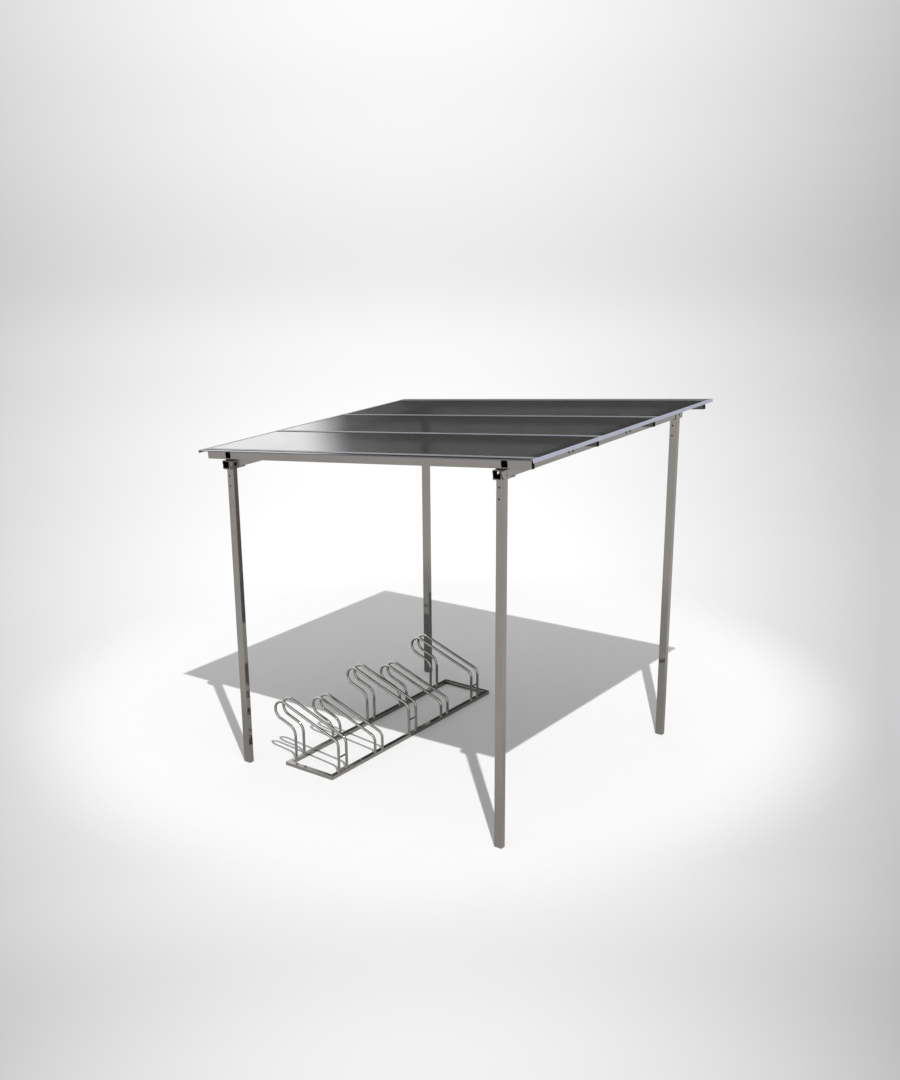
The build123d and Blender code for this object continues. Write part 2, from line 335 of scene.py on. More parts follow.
@dataclass(frozen=True)
class SmokedAcrylicSheet:
    """Smoked acrylic sheet, extruded: near black and glossy, with frosted saw cuts at the sides."""

    side_x: float  # half the roof's width, where the saw cuts are
    name: str = "smoked_acrylic_sheet"
    tint: str = "#616160"
    tint_far: str = "#5D5D5C"
    sawn: str = "#53535B"
    sawn_pale: str = "#5D5D65"
    roughness: float = 0.05
    sawn_roughness: float = 0.6
    sawn_depth: float = 0.5 * MM
    ior: float = 1.49
    wave_mm: float = 320.0
    relief: tuple[float, float] = (0.05, 0.0005)
    cloud_mm: float = 90.0
    tooth_mm: float = 6.0

    def build(self) -> bpy.types.Material:
        """Build the material and return it."""
        material, tree, place = blank_material(self.name)
        waves = pattern(tree, place, self.wave_mm, 1.0, (1.0, 0.4, 1.0))
        clouds = pattern(tree, place, self.cloud_mm, 3.0)
        colour = tinted(tree, clouds, self.tint, self.tint_far)
        bump = raised(tree, waves, self.relief)
        sheet = add_node(tree, "BsdfPrincipled", {"Roughness": self.roughness, "IOR": self.ior,
                                                  "Transmission Weight": 1.0},
                         {"Base Color": colour, "Normal": bump})
        across = add_node(tree, "SeparateXYZ", links={"Vector": place}).outputs["X"]
        half = add_node(tree, "Math", links={0: across}, operation="ABSOLUTE")
        at_side = add_node(tree, "Math", {1: self.side_x - self.sawn_depth}, {0: half.outputs[0]},
                           operation="GREATER_THAN")
        teeth = pattern(tree, place, self.tooth_mm, 3.0, (1.0, 1.0, 0.3))
        frosted = add_node(tree, "BsdfPrincipled", {"Roughness": self.sawn_roughness},
                           {"Base Color": tinted(tree, teeth, self.sawn, self.sawn_pale)})
        mixed = add_node(tree, "MixShader", links={0: at_side.outputs[0], 1: sheet.outputs["BSDF"],
                                                   2: frosted.outputs["BSDF"]})
        close_material(tree, mixed.outputs[0])
        return material


@dataclass(frozen=True)
class PowderCoatedTrim:
    """Powder-coated aluminium trim: pale lavender grey, satin, with a fine orange-peel skin."""

    name: str = "powder_coated_trim"
    paint: str = "#AAADBD"
    worn: str = "#A3A6B6"
    roughness: tuple[float, float] = (0.34, 0.46)
    peel_mm: float = 3.0  # real orange peel is about 1 mm; drawn coarser so that it shows
    relief: tuple[float, float] = (0.12, 0.0003)
    cloud_mm: float = 110.0

    def build(self) -> bpy.types.Material:
        """Build the material and return it."""
        material, tree, place = blank_material(self.name)
        peel = pattern(tree, place, self.peel_mm, 1.0)
        clouds = pattern(tree, place, self.cloud_mm, 3.0)
        bump = raised(tree, peel, self.relief)
        skin = add_node(tree, "BsdfPrincipled", {"Metallic": 0.0},
                        {"Base Color": tinted(tree, clouds, self.paint, self.worn),
                         "Roughness": between(tree, clouds, *self.roughness),
                         "Normal": bump})
        close_material(tree, skin.outputs["BSDF"])
        return material


@dataclass(frozen=True)
class AnodisedStrip(PowderCoatedTrim):
    """Anodised aluminium cover strip, extruded: the trim's lavender grey, one shade darker."""

    name: str = "anodised_cover_strip"
    paint: str = "#767780"
    worn: str = "#707178"


@dataclass(frozen=True)
class ZincFastener:
    """Zinc-plated steel fastener, cold formed: darker grey with worn bright spots."""

    name: str = "zinc_fastener"
    dark: str = "#5E5D5A"
    bright: str = "#8A8985"
    wear_mm: float = 5.0
    roughness: tuple[float, float] = (0.28, 0.45)

    def build(self) -> bpy.types.Material:
        """Build the material and return it."""
        material, tree, place = blank_material(self.name)
        wear = pattern(tree, place, self.wear_mm, 3.0)
        metal = add_node(tree, "BsdfPrincipled", {"Metallic": 1.0},
                         {"Base Color": tinted(tree, wear, self.dark, self.bright),
                          "Roughness": between(tree, wear, *self.roughness)})
        close_material(tree, metal.outputs["BSDF"])
        return material


@dataclass(frozen=True)
class BlackRubber:
    """Extruded black rubber or polythene: matt, near black, with a fine mottled skin."""

    # built from this class itself, this black is painted shade on the rafter wedges and the saddle beads
    name: str = "shade_black_rubber"
    black: str = "#101011"
    grey: str = "#1B1B1C"
    gloss: float = 0.5
    mottle_mm: float = 4.0
    relief: tuple[float, float] = (0.2, 0.0002)
    roughness: tuple[float, float] = (0.55, 0.75)

    def build(self) -> bpy.types.Material:
        """Build the material and return it."""
        material, tree, place = blank_material(self.name)
        mottle = pattern(tree, place, self.mottle_mm, 3.0)
        bump = raised(tree, mottle, self.relief)
        skin = add_node(tree, "BsdfPrincipled", {"Specular IOR Level": self.gloss},
                        {"Base Color": tinted(tree, mottle, self.black, self.grey),
                         "Roughness": between(tree, mottle, *self.roughness), "Normal": bump})
        close_material(tree, skin.outputs["BSDF"])
        return material


@dataclass(frozen=True)
class LipRubber(BlackRubber):
    """EPDM rubber lip, extruded: weathered to dark grey."""

    name: str = "weathered_lip_rubber"
    black: str = "#262627"
    grey: str = "#303031"


@dataclass(frozen=True)
class PlugPlastic(BlackRubber):
    """Injection-moulded polyethylene plug: deep black and matt."""

    name: str = "black_plug_plastic"
    black: str = "#050505"
    grey: str = "#090909"
    gloss: float = 0.15


@dataclass(frozen=True)
class GreySilicone(BlackRubber):
    """Neutral silicone sealant, tooled by hand: light grey and slightly glossy."""

    name: str = "grey_silicone"
    black: str = "#8E8E95"
    grey: str = "#A0A0A6"


@dataclass(frozen=True)
class WeldMetal:
    """Brushed-off weld metal, TIG run: duller than the tube, with a straw heat tint in blotches."""

    name: str = "tig_weld_metal"
    silver: str = "#8B8883"
    straw: str = "#7C7364"
    heat_mm: float = 4.0
    roughness: tuple[float, float] = (0.22, 0.38)

    def build(self) -> bpy.types.Material:
        """Build the material and return it."""
        material, tree, place = blank_material(self.name)
        heat = pattern(tree, place, self.heat_mm)
        metal = add_node(tree, "BsdfPrincipled", {"Metallic": 1.0},
                         {"Base Color": tinted(tree, heat, self.silver, self.straw),
                          "Roughness": between(tree, heat, *self.roughness)})
        close_material(tree, metal.outputs["BSDF"])
        return material


def clear_picks() -> None:
    """Deselect every object, so that an operator acts only on what comes next."""
    bpy.ops.object.select_all(action="DESELECT")


def take_up(piece: bpy.types.Object) -> None:
    """Make one piece the only selected and the active one.

    Args:
        piece: The object taken up.
    """
    clear_picks()
    piece.select_set(True)
    bpy.context.view_layer.objects.active = piece


def pick(piece: bpy.types.Object, part: Part, test: Callable[[Vector, Vector], bool]) -> None:
    """Select parts of a mesh in edit mode by their place and direction.

    Args:
        piece: The object in edit mode.
        part: Whether points, edges or faces are picked.
        test: Takes a part's middle in the frame's metres, and its normal or an edge's direction.
    """
    mesh = bmesh.from_edit_mesh(piece.data)
    place, turn = piece.matrix_world, piece.matrix_world.to_3x3().normalized()
    mesh.select_mode = {("VERT", "EDGE", "FACE")[part.value]}
    bpy.context.tool_settings.mesh_select_mode = [i == part.value for i in range(3)]
    bpy.ops.mesh.select_all(action="DESELECT")
    for item in (mesh.verts, mesh.edges, mesh.faces)[part.value]:
        if part is Part.POINTS:
            middle, way = item.co, item.normal
        elif part is Part.EDGES:
            first, last = item.verts
            middle, way = (first.co + last.co) / 2, (last.co - first.co).normalized()
        else:
            middle, way = item.calc_center_median(), item.normal
        if test(place @ middle, turn @ way):
            item.select_set(True)
    mesh.select_flush_mode()
    bmesh.update_edit_mesh(piece.data)


def trim_off(place: Sequence[float], way: Sequence[float]) -> None:
    """In edit mode, cut all that lies behind a plane away and close the cut.

    Args:
        place: A point of the plane.
        way: The plane's normal, towards what is kept.
    """
    bpy.ops.mesh.select_all(action="SELECT")
    bpy.ops.mesh.bisect(plane_co=place, plane_no=way, use_fill=True, clear_inner=True)


def leave_edit() -> None:
    """Turn all faces outwards and go back to object mode."""
    bpy.ops.mesh.select_all(action="SELECT")
    bpy.ops.mesh.normals_make_consistent(inside=False)
    bpy.ops.object.mode_set(mode="OBJECT")


def copy_at(piece: bpy.types.Object, move: Sequence[float]) -> bpy.types.Object:
    """Copy a piece with a mesh of its own.

    Args:
        piece: The finished piece.
        move: How far the copy stands from it.

    Returns:
        The copy.
    """
    twin = piece.copy()
    twin.data = piece.data.copy()
    twin.location = piece.location + Vector(move)
    bpy.context.scene.collection.objects.link(twin)
    return twin


def finish_piece(parts: Sequence[bpy.types.Object], name: str, material: bpy.types.Material) -> bpy.types.Object:
    """Join parts into one piece at the origin, dress it and let it ride.

    Args:
        parts: One or more meshes.
        name: The piece's name.
        material: Its finish.

    Returns:
        The finished piece.
    """
    clear_picks()
    for part in parts:
        part.select_set(True)
    piece = parts[0]
    bpy.context.view_layer.objects.active = piece
    if len(parts) > 1:
        bpy.ops.object.join()
    bpy.ops.object.transform_apply(location=True, rotation=True, scale=True)
    bpy.ops.object.shade_smooth_by_angle(angle=SMOOTH_BELOW)
    piece.name = piece.data.name = name
    piece.data.materials.clear()
    piece.data.materials.append(material)
    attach(piece, "root")
    LOG.info("made %s: %d faces", name, len(piece.data.polygons))
    return piece


def on_roof(x: float, y: float, lift: float) -> Vector:
    """Find a point of the sloping sheets' top face.

    Args:
        x: Place along the entrance.
        y: Place in plan from front to rear.
        lift: Height square to the slope above the sheet.

    Returns:
        The point in the frame's metres.
    """
    low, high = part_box("roof_panel_2")
    top_front = high.z  # the front edge of the top face is the highest
    along = (y - low.y - SHEET_T * math.sin(ROOF_PITCH)) / math.cos(ROOF_PITCH)
    return Vector((x, y + lift * math.sin(ROOF_PITCH),
                   top_front - along * math.sin(ROOF_PITCH) + lift * math.cos(ROOF_PITCH)))


def dress(name: str, material: bpy.types.Material) -> None:
    """Give a CAD node its finish without touching its shape.

    Args:
        name: The node's name.
        material: Its finish.
    """
    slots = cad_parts[name].data.materials
    slots.clear()
    slots.append(material)


@dataclass
class ShelterFrame:
    """Posts, beams, saddles, rafters and their fasteners."""

    rafter_height: float = 51 * MM
    skin: float = 0.8 * MM  # how deep the polish reaches on a section's end face; the painted shade of the inside starts there
    beam_skin: float = 1.5 * MM
    finish: PolishedSteelTube = field(default_factory=PolishedSteelTube)
    fastener: ZincFastener = field(default_factory=ZincFastener)
    rubber: BlackRubber = field(default_factory=BlackRubber)

    def dress_sections(self) -> None:
        """Give every hollow section its polished skin and its inside painted black as shade."""
        rows, sides = ("front", "rear"), ("left", "right")
        plan = [(f"post_{r}_{s}", self.skin, Lying.UPRIGHT) for r in rows for s in sides]
        plan += [(f"beam_{r}", self.beam_skin, Lying.ALONG_X) for r in rows]
        plan += [(f"rafter_{i}", self.skin, Lying.DOWN_ROOF) for i in range(1, 5)]
        for name, skin, lying in plan:
            low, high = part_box(name)
            size = high - low
            across, up = {Lying.UPRIGHT: (size.x, size.y), Lying.ALONG_X: (size.y, size.z),
                          Lying.DOWN_ROOF: (size.x, self.rafter_height)}[lying]
            hollow = Hollow((low + high) / 2, across / 2 - skin, up / 2 - skin, lying)
            dress(name, self.finish.build(lying, hollow))
            LOG.info("dressed %s", name)
        plain = self.finish.build(Lying.ALONG_X)
        for name in [f"saddle_{r}_{s}" for r in rows for s in sides]:
            dress(name, plain)
        wedge_shade, zinc = self.rubber.build(), self.fastener.build()
        for row in rows:
            # the rafter wedges take black rubber as painted shade: it stands for the shaded gap between beam and
            # rafter
            dress(f"rafter_wedges_{row}", wedge_shade)
            dress(f"rafter_bolts_{row}", zinc)
            dress(f"beam_fixings_{row}", zinc)


@dataclass
class Roof:
    """Smoked sheets, cover strips and edge trims."""

    trim: PowderCoatedTrim = field(default_factory=PowderCoatedTrim)
    strip: AnodisedStrip = field(default_factory=AnodisedStrip)

    def dress_parts(self) -> None:
        """Give sheets and trims their finishes."""
        sheet = SmokedAcrylicSheet(side_x=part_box("roof_panel_3")[1].x).build()
        for i in range(1, 4):
            dress(f"roof_panel_{i}", sheet)
        paint, strip = self.trim.build(), self.strip.build()
        for name in ("trim_front", "trim_rear"):
            dress(name, paint)
        for i in range(1, 5):
            dress(f"cover_strip_{i}", strip)


@dataclass
class Rack:
    """Floor rack: base frame and five pairs of bent tubes."""

    steel: PlatedRackSteel = field(default_factory=PlatedRackSteel)

    def dress_parts(self) -> None:
        """Give the rack its plated finish."""
        steel = self.steel.build()
        names = ["rack_rail_front", "rack_rail_rear", "rack_end_left", "rack_end_right",
                 "rack_cross_bars"]
        for name in names + [f"rack_place_{i}" for i in range(1, 6)]:
            dress(name, steel)


@dataclass
class RackWelds:
    """Weld beads round the loop feet and seams over the mitred corners of the base frame."""

    tube_radius: float = 9 * MM
    bead_radius: float = 2.4 * MM
    bead_off: float = 0.3  # the bead's centre from the tube's skin, in bead radii
    ripples: int = 20
    ripple_depth: float = 0.6 * MM
    seam: tuple[float, float, float] = (40 * MM, 3.2 * MM, 1.6 * MM)
    seam_steps: int = 16
    seam_round: float = 0.9 * MM
    seam_dip: float = 0.35 * MM
    metal: WeldMetal = field(default_factory=WeldMetal)

    def bead(self, foot: Vector) -> bpy.types.Object:
        """Lay one rippled bead round a tube foot.

        Args:
            foot: Middle of the tube where it meets the rail.

        Returns:
            The bead.
        """
        clear_picks()
        bpy.ops.mesh.primitive_torus_add(
            location=foot, major_segments=2 * self.ripples, minor_segments=10,
            major_radius=self.tube_radius + self.bead_off * self.bead_radius,
            minor_radius=self.bead_radius)
        bead = bpy.context.object
        bpy.ops.object.mode_set(mode="EDIT")
        step = math.pi / self.ripples
        pick(bead, Part.POINTS,
             lambda at, _: round(math.atan2(at.y - foot.y, at.x - foot.x) / step) % 2 == 0)
        bpy.ops.transform.shrink_fatten(value=-self.ripple_depth)
        trim_off(foot, (0, 0, 1))
        leave_edit()
        return bead

    def corner_seam(self, corner: Vector, turn: float) -> bpy.types.Object:
        """Lay a low rippled seam over one mitre.

        Args:
            corner: Middle of the mitre on the frame's top face.
            turn: Direction of the mitre in plan, in degrees.

        Returns:
            The seam.
        """
        clear_picks()
        bpy.ops.mesh.primitive_cube_add(size=1, location=corner, scale=self.seam,
                                        rotation=(0, 0, math.radians(turn)))
        seam = bpy.context.object
        along = Matrix.Rotation(math.radians(turn), 3, "Z") @ Vector((1, 0, 0))
        bpy.ops.object.mode_set(mode="EDIT")
        pick(seam, Part.EDGES, lambda _, way: abs(way.dot(along)) > ALONG)
        bpy.ops.mesh.subdivide(number_cuts=self.seam_steps - 1)
        pick(seam, Part.EDGES, lambda at, way: abs(way.dot(along)) > ALONG and at.z > corner.z)
        bpy.ops.mesh.bevel(offset=self.seam_round, segments=2, affect="EDGES")
        pitch = self.seam[0] / self.seam_steps
        pick(seam, Part.POINTS, lambda at, _: at.z > corner.z
             and round((at - corner).dot(along) / pitch) % 2 == 0)
        bpy.ops.transform.translate(value=(0, 0, -self.seam_dip))
        trim_off(corner, (0, 0, 1))
        leave_edit()
        return seam

    def build(self) -> None:
        """Weld all five places and the four corners."""
        metal = self.metal.build()
        front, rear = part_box("rack_rail_front"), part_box("rack_rail_rear")
        top = front[1].z
        model = self.bead(Vector((0, 0, top)))
        for i in range(1, 6):
            low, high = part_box(f"rack_place_{i}")
            xs = (low.x + self.tube_radius, high.x - self.tube_radius)
            ys = [(box[0].y + box[1].y) / 2 for box in (front, rear)]
            beads = [copy_at(model, (x, y, 0)) for x in xs for y in ys]
            finish_piece(beads, f"rack_weld_beads_{i}", metal)
        bpy.data.objects.remove(model)
        half = (front[1].y - front[0].y) / 2
        seams = []
        for x, sx in ((front[0].x, 1), (front[1].x, -1)):
            for y, sy in ((front[0].y, 1), (rear[1].y, -1)):
                corner = Vector((x + sx * half, y + sy * half, top))
                seams.append(self.corner_seam(corner, 45.0 * sx * sy))
        finish_piece(seams, "rack_corner_seams", metal)


@dataclass
class RoofSeals:
    """Rubber lips beside the cover strips and silicone behind the edge trims."""

    lip_w: float = 2.2 * MM
    lip_h: float = 2.0 * MM
    lip_round: float = 1.0 * MM
    lip_cuts: int = 11
    tip_run: float = 3 * MM  # how much of each end of a lip is pressed down
    tip_drop: float = 0.7 * MM
    silicone: float = 3.0 * MM
    wobble: float = 0.18 * MM  # unevenness of the hand-tooled bead
    bead_cuts: int = 60
    bead_short: float = 4 * MM  # how much shorter the bead is than the roof is wide
    trim_lap: float = 10 * MM
    rubber: LipRubber = field(default_factory=LipRubber)
    sealant: GreySilicone = field(default_factory=GreySilicone)

    def lip(self, x: float, side: int, y0: float, y1: float) -> bpy.types.Object:
        """Run one rubber lip down the slope.

        Args:
            x: The strip's edge.
            side: -1 on its left, 1 on its right.
            y0: Its front end.
            y1: Its rear end.

        Returns:
            The lip.
        """
        length = (y1 - y0) / math.cos(ROOF_PITCH)
        middle = on_roof(x + side * self.lip_w / 2, (y0 + y1) / 2, self.lip_h / 2)
        clear_picks()
        bpy.ops.mesh.primitive_cube_add(size=1, location=middle, rotation=(-ROOF_PITCH, 0, 0),
                                        scale=(self.lip_w, length, self.lip_h))
        lip = bpy.context.object
        up = Vector((0, math.sin(ROOF_PITCH), math.cos(ROOF_PITCH)))
        bpy.ops.object.mode_set(mode="EDIT")
        pick(lip, Part.EDGES, lambda _, way: abs(way.y) > ALONG)
        bpy.ops.mesh.subdivide(number_cuts=self.lip_cuts)
        pick(lip, Part.EDGES, lambda at, way: abs(way.y) > ALONG and (at - middle).dot(up) > 0
             and (at.x - middle.x) * side > 0)
        bpy.ops.mesh.bevel(offset=self.lip_round, segments=4, affect="EDGES")
        tip = length / 2 * math.cos(ROOF_PITCH) - self.tip_run
        pick(lip, Part.POINTS,
             lambda at, _: abs((at - middle).y) > tip and (at - middle).dot(up) > 0)
        bpy.ops.transform.translate(value=tuple(-self.tip_drop * c for c in up))
        leave_edit()
        return lip

    def bead_behind(self, row: str) -> bpy.types.Object:
        """Run one silicone bead along the inner edge of an edge trim.

        Args:
            row: Front or rear.

        Returns:
            The bead.
        """
        low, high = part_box(f"trim_{row}")
        panel_low, panel_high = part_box("roof_panel_1")[0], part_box("roof_panel_3")[1]
        inward, edge_y = (1, low.y) if row == "front" else (-1, high.y)
        lap = self.trim_lap * math.cos(ROOF_PITCH) + self.silicone / 3
        foot = on_roof(0.0, edge_y + inward * lap, 0.0)
        clear_picks()
        bpy.ops.mesh.primitive_cylinder_add(vertices=12, radius=self.silicone / 2, location=foot,
                                            depth=panel_high.x - panel_low.x - self.bead_short,
                                            rotation=(0, math.pi / 2, 0))
        bead = bpy.context.object
        bpy.ops.object.mode_set(mode="EDIT")
        pick(bead, Part.EDGES, lambda _, way: abs(way.x) > ALONG)
        bpy.ops.mesh.subdivide(number_cuts=self.bead_cuts)
        bpy.ops.mesh.select_all(action="SELECT")
        bpy.ops.transform.vertex_random(offset=self.wobble, seed=5)
        trim_off(foot, (0, math.sin(ROOF_PITCH), math.cos(ROOF_PITCH)))
        leave_edit()
        return bead

    def build(self) -> None:
        """Seal the four strips and both trims."""
        rubber, sealant = self.rubber.build(), self.sealant.build()
        for i in range(1, 5):
            low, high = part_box(f"cover_strip_{i}")
            lips = [self.lip(x, side, low.y, high.y) for x, side in ((low.x, -1), (high.x, 1))]
            finish_piece(lips, f"roof_gasket_{i}", rubber)
        for row in ("front", "rear"):
            finish_piece([self.bead_behind(row)], f"trim_sealant_{row}", sealant)


@dataclass
class BeamScrews:
    """Domed socket screws on washers, two at each inner rafter on the outer beam faces."""

    washer: tuple[float, float] = (8.6 * MM, 1.5 * MM)  # radius and height, as in the next two
    head: tuple[float, float] = (7.0 * MM, 3.5 * MM)
    socket: tuple[float, float] = (2.9 * MM, 2.4 * MM)
    washer_edge: tuple[float, float] = (0.3 * MM, 0.2 * MM)  # width and rise of its broken edge
    collar: float = 0.45  # straight part of the head, as a share of its height
    dome: tuple[tuple[float, float], ...] = ((0.3, 0.9), (0.17, 0.84), (0.08, 0.8))  # rise, shrink
    apart: float = 44 * MM
    zinc: ZincFastener = field(default_factory=ZincFastener)

    def screw(self, sign: int) -> bpy.types.Object:
        """Make one screw that stands on the plane Y = 0 and points along Y.

        Args:
            sign: -1 towards the entrance, 1 towards the rear.

        Returns:
            The screw with its washer.
        """
        turn = (-sign * math.pi / 2, 0, 0)
        radius, height = self.washer
        head_radius, head_height = self.head
        edge, rise = self.washer_edge
        clear_picks()
        bpy.ops.mesh.primitive_cylinder_add(vertices=32, radius=radius, depth=height,
                                            location=(0, sign * height / 2, 0), rotation=turn)
        body = bpy.context.object
        bpy.ops.object.mode_set(mode="EDIT")
        pick(body, Part.FACES, lambda _, way: way.y * sign > ALONG)
        bpy.ops.mesh.inset(thickness=edge)
        bpy.ops.transform.translate(value=(0, sign * rise, 0))
        bpy.ops.mesh.inset(thickness=radius - head_radius - edge)
        for lift, shrink in ((self.collar, 1.0), *self.dome):
            bpy.ops.mesh.extrude_region_move(
                TRANSFORM_OT_translate={"value": (0, sign * head_height * lift, 0)})
            bpy.ops.transform.resize(value=(shrink, 1, shrink))
        leave_edit()
        clear_picks()
        top = sign * (height + head_height)
        across, deep = self.socket
        bpy.ops.mesh.primitive_cylinder_add(vertices=6, radius=across, depth=2 * deep,
                                            location=(0, top, 0), rotation=turn)
        cutter = bpy.context.object
        take_up(body)
        cut = body.modifiers.new("socket", "BOOLEAN")
        cut.operation, cut.object, cut.solver = "DIFFERENCE", cutter, "EXACT"
        bpy.ops.object.modifier_apply(modifier=cut.name)
        bpy.data.objects.remove(cutter)
        return body

    def build(self) -> None:
        """Put four screws on each beam, in place of the plain heads."""
        zinc = self.zinc.build()
        for row, sign in (("front", -1), ("rear", 1)):
            low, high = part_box(f"beam_fixings_{row}")
            radius = (high.z - low.z) / 2
            face_y = high.y if sign < 0 else low.y
            model = self.screw(sign)
            first, last = low.x + radius, high.x - radius
            xs = (first, first + self.apart, last - self.apart, last)
            screws = [copy_at(model, (x, face_y, low.z + radius)) for x in xs]
            bpy.data.objects.remove(model)
            piece = finish_piece(screws, f"beam_screws_{row}", zinc)
            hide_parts(f"beam_fixings_{row}")


@dataclass
class EndPlugs:
    """Black plastic plugs with a stepped root in both ends of each rafter."""

    height: float = 51 * MM
    wall: float = 3 * MM
    rim: float = 2.4 * MM  # how much of the tube's end stays bare round the plug
    flange: float = 1.8 * MM
    corner: float = 1.8 * MM
    crown: tuple[float, float] = (2.0 * MM, 0.6 * MM)  # width of the flange's slope and its rise
    depth: float = 16 * MM
    steps: int = 3
    play: float = 0.5 * MM  # between the plug's root and the tube
    taper: float = 0.7 * MM  # from one step of the root to the next
    plastic: PlugPlastic = field(default_factory=PlugPlastic)

    def plug(self, face: Vector, width: float, sign: int) -> bpy.types.Object:
        """Make one plug.

        Args:
            face: Middle of the rafter's end face.
            width: The rafter's outer width.
            sign: -1 at the entrance, 1 at the rear.

        Returns:
            The plug.
        """
        out = Vector((0, sign * math.cos(ROOF_PITCH), -sign * math.sin(ROOF_PITCH)))
        middle = face + out * (self.flange / 2)
        clear_picks()
        bpy.ops.mesh.primitive_cube_add(size=1, location=middle, rotation=(-ROOF_PITCH, 0, 0),
                                        scale=(width - 2 * self.rim, self.flange,
                                               self.height - 2 * self.rim))
        plug = bpy.context.object
        bpy.ops.object.mode_set(mode="EDIT")
        pick(plug, Part.FACES, lambda _, way: way.dot(out) < -ALONG)
        inwards = tuple(-self.depth / (self.steps + 1) * c for c in out)
        for inset in (self.wall - self.rim + self.play, *[self.taper] * self.steps):
            bpy.ops.mesh.inset(thickness=inset)
            bpy.ops.mesh.extrude_region_move(TRANSFORM_OT_translate={"value": inwards})
        pick(plug, Part.FACES, lambda _, way: way.dot(out) > ALONG)
        slope, rise = self.crown
        bpy.ops.mesh.inset(thickness=slope)
        bpy.ops.transform.translate(value=tuple(rise * c for c in out))
        pick(plug, Part.EDGES, lambda at, way: abs(way.dot(out)) > ALONG
             and abs((at - middle).dot(out)) < self.flange / 2)
        bpy.ops.mesh.bevel(offset=self.corner, segments=4, affect="EDGES")
        leave_edit()
        return plug

    def build(self) -> None:
        """Plug the four rafters."""
        plastic = self.plastic.build()
        rise, run = self.height / 2 * math.cos(ROOF_PITCH), self.height / 2 * math.sin(ROOF_PITCH)
        for i in range(1, 5):
            low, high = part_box(f"rafter_{i}")
            x, width = (low.x + high.x) / 2, high.x - low.x
            plugs = [self.plug(Vector((x, low.y + run, high.z - rise)), width, -1),
                     self.plug(Vector((x, high.y - run, low.z + rise)), width, 1)]
            finish_piece(plugs, f"rafter_end_plugs_{i}", plastic)


@dataclass
class SaddleShadeBeads:
    """Black bead round the curved lower corner of each saddle cheek: painted shade, standing for the dark shade
    line at the cheek's edge.
    """

    corner_radius: float = 49 * MM
    cheek: float = 4 * MM
    seat: float = 5 * MM
    thick: float = 3.2 * MM
    off: float = 0.2  # the bead's centre outside the corner, in bead thicknesses
    rubber: BlackRubber = field(default_factory=BlackRubber)

    def bead(self, centre: Vector, face_y: float, side: int, sign: int) -> bpy.types.Object:
        """Run one bead along a cheek's corner, on the beam's face.

        Args:
            centre: Middle of the corner's arc.
            face_y: The beam's face.
            side: -1 for a left saddle, 1 for a right one.
            sign: Which way the beam's face looks along Y.

        Returns:
            The bead.
        """
        clear_picks()
        bpy.ops.mesh.primitive_torus_add(
            location=(centre.x, face_y, centre.z), rotation=(math.pi / 2, 0, 0), major_segments=96,
            minor_segments=10, major_radius=self.corner_radius + self.off * self.thick,
            minor_radius=self.thick)
        bead = bpy.context.object
        bpy.ops.object.mode_set(mode="EDIT")
        trim_off((0, face_y, 0), (0, sign, 0))
        trim_off(centre, (side, 0, 0))
        trim_off((centre.x + side * self.corner_radius, 0, 0), (-side, 0, 0))
        trim_off((centre.x, face_y, centre.z - self.corner_radius + self.seat), (0, 0, 1))
        trim_off(centre, (0, 0, -1))
        leave_edit()
        return bead

    def build(self) -> None:
        """Lay the black shade bead at both cheeks of all four saddles."""
        rubber = self.rubber.build()
        for row in ("front", "rear"):
            for name, side in (("left", -1), ("right", 1)):
                low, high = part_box(f"saddle_{row}_{name}")
                x = low.x + self.corner_radius if side < 0 else high.x - self.corner_radius
                centre = Vector((x, 0, low.z + self.corner_radius))
                beads = [self.bead(centre, low.y + self.cheek, side, -1),
                         self.bead(centre, high.y - self.cheek, side, 1)]
                finish_piece(beads, f"saddle_shade_bead_{row}_{name}", rubber)


